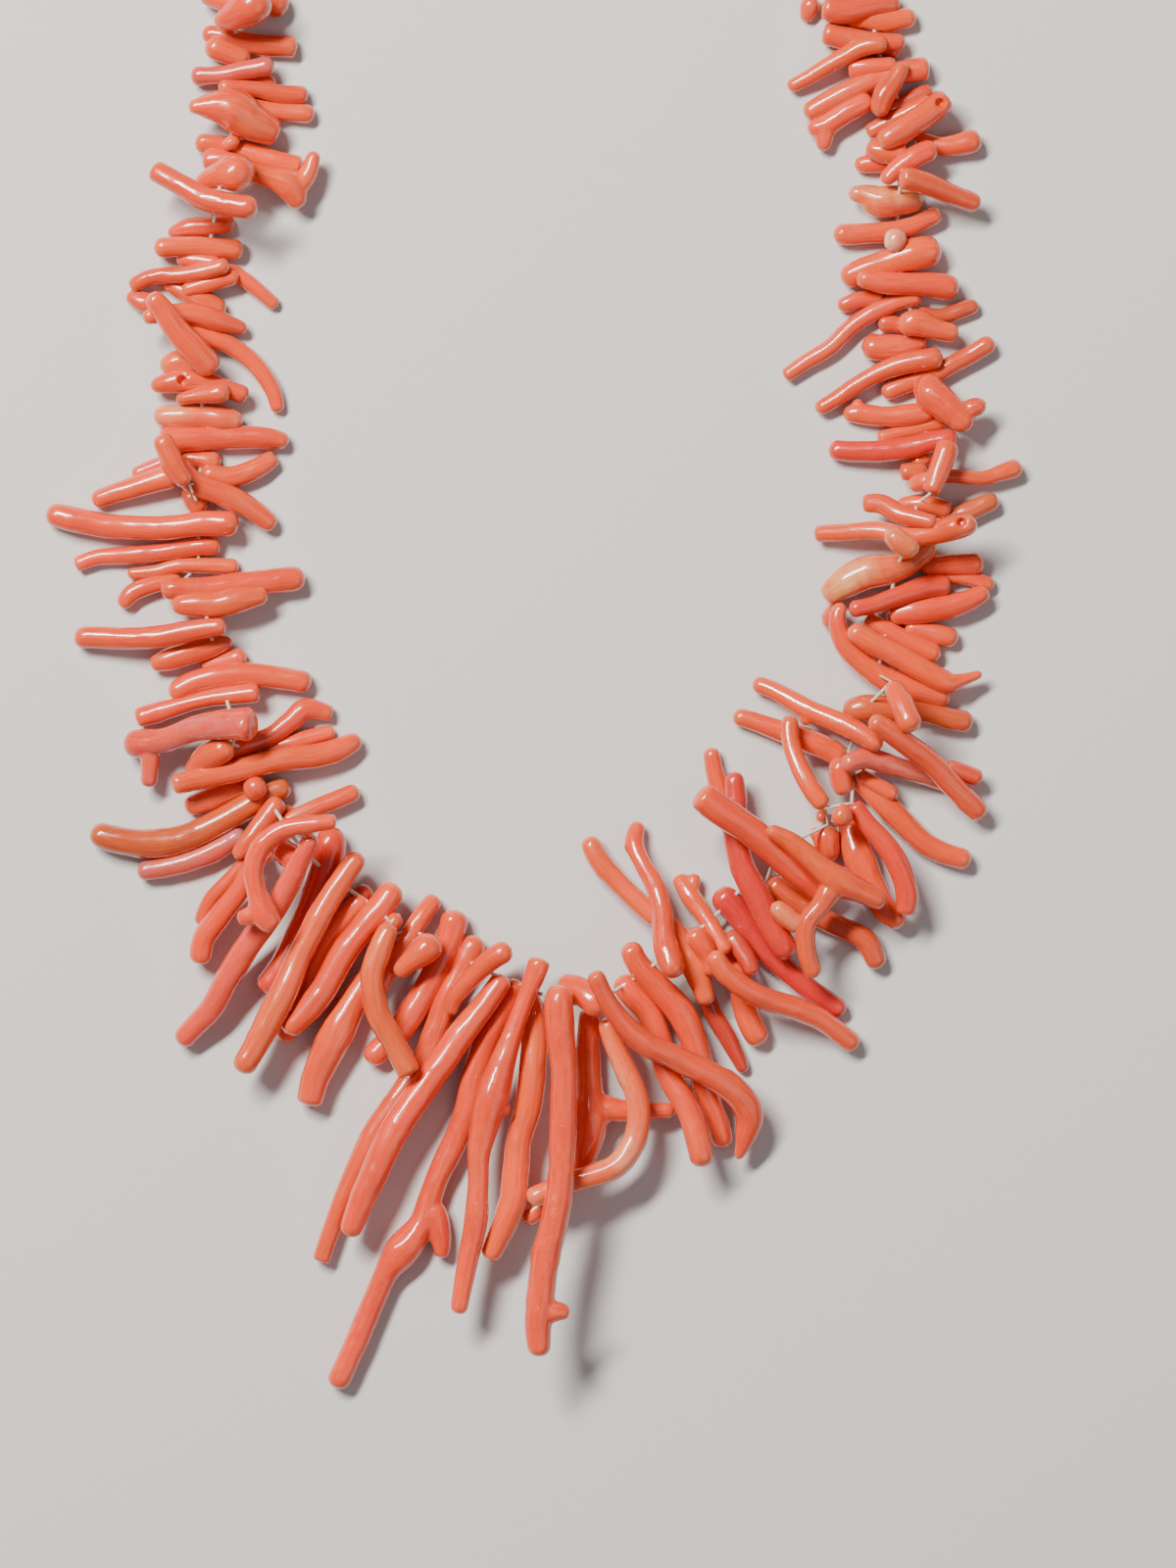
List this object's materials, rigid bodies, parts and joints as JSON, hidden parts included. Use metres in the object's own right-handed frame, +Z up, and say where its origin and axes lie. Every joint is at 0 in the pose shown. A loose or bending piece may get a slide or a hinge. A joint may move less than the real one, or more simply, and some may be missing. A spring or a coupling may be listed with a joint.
{
  "type": "red coral branch necklace",
  "caption": "Graduated necklace of polished red coral branches strung on a silk thread, laid flat in an open loop.",
  "frame": {"origin": "centre of the footprint of the laid-out strand, on the table", "axes": "+Z up from the table, +Y from the long front twigs to the back of the neck, +X to the right seen from above"},
  "size_m": [0.1256, 0.2278, 0.0131],
  "materials": {
    "coral": "polished natural coral",
    "thread": "twisted silk"
  },
  "bodies": {
    "root": {"back_sprigs_1": "coral", "back_sprigs_2": "coral", "back_sprigs_3": "coral", "front_twig_01": "coral", "front_twig_02": "coral", "front_twig_03": "coral", "front_twig_05": "coral", "front_twig_06": "coral", "front_twig_07": "coral", "front_twig_08": "coral", "front_twig_10": "coral", "front_twig_12": "coral", "front_twig_13": "coral", "front_twig_14": "coral", "front_twig_15": "coral", "front_twig_16": "coral", "front_twig_17": "coral", "front_twig_18": "coral", "front_twig_19": "coral", "front_twig_20": "coral", "front_twig_21": "coral", "front_twig_22": "coral", "front_twig_23": "coral", "front_twig_24": "coral", "front_twig_25": "coral", "front_twig_26": "coral", "front_twig_27": "coral", "front_twig_28": "coral", "front_twig_29": "coral", "front_twig_30": "coral", "front_twig_31": "coral", "front_twig_32": "coral", "front_twig_33": "coral", "front_twig_34": "coral", "front_twig_35": "coral", "front_twig_37": "coral", "front_twig_38": "coral", "front_twig_39": "coral", "front_twig_40": "coral", "front_twig_41": "coral", "front_twig_42": "coral", "front_twig_44": "coral", "front_twig_45": "coral", "front_twig_46": "coral", "front_twig_47": "coral", "front_twig_49": "coral", "front_twig_50": "coral", "front_twig_52": "coral", "front_twig_53": "coral", "front_twig_54": "coral", "front_twig_58": "coral", "left_sprigs_1": "coral", "left_sprigs_2": "coral", "left_sprigs_3": "coral", "left_sprigs_4": "coral", "right_sprigs_1": "coral", "right_sprigs_2": "coral", "right_sprigs_3": "coral", "right_sprigs_4": "coral", "silk_thread": "thread"}
  },
  "joints": []
}
